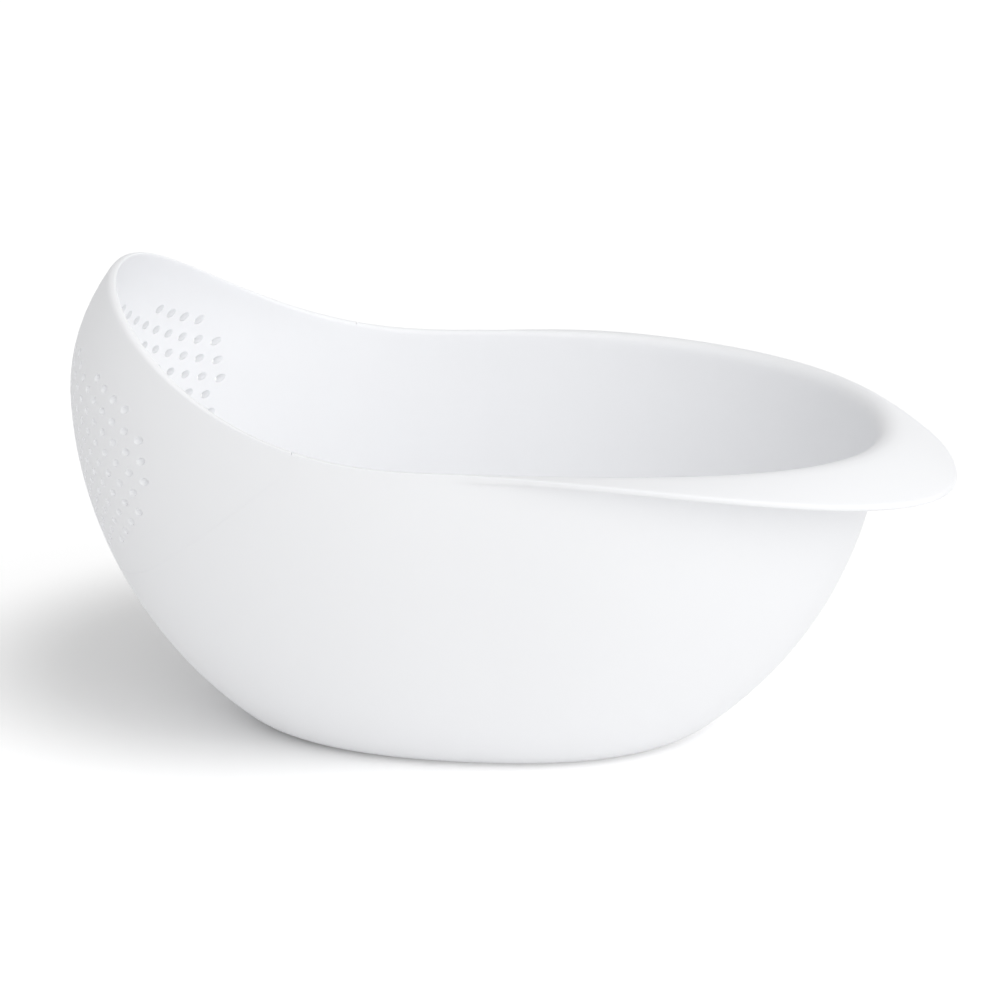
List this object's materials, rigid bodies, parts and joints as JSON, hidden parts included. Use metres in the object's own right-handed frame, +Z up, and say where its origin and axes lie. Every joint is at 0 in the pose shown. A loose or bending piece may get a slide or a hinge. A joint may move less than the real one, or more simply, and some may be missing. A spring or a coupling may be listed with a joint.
{
  "type": "sieve bowl",
  "caption": "Deep egg-shaped plastic bowl with a raised, pierced end for rinsing and draining food and a drooping lip for holding and pouring.",
  "frame": {"origin": "on the floor, below the middle of the whole length and width", "axes": "+X along the bowl towards the pouring lip, +Y to the left of that, +Z up"},
  "size_m": [0.3275, 0.2124, 0.174],
  "materials": {
    "white_plastic": "fine matte moulded surface"
  },
  "bodies": {
    "root": {"bowl_body": "white_plastic", "strainer_panel": "white_plastic", "pouring_lip": "white_plastic"}
  },
  "joints": []
}
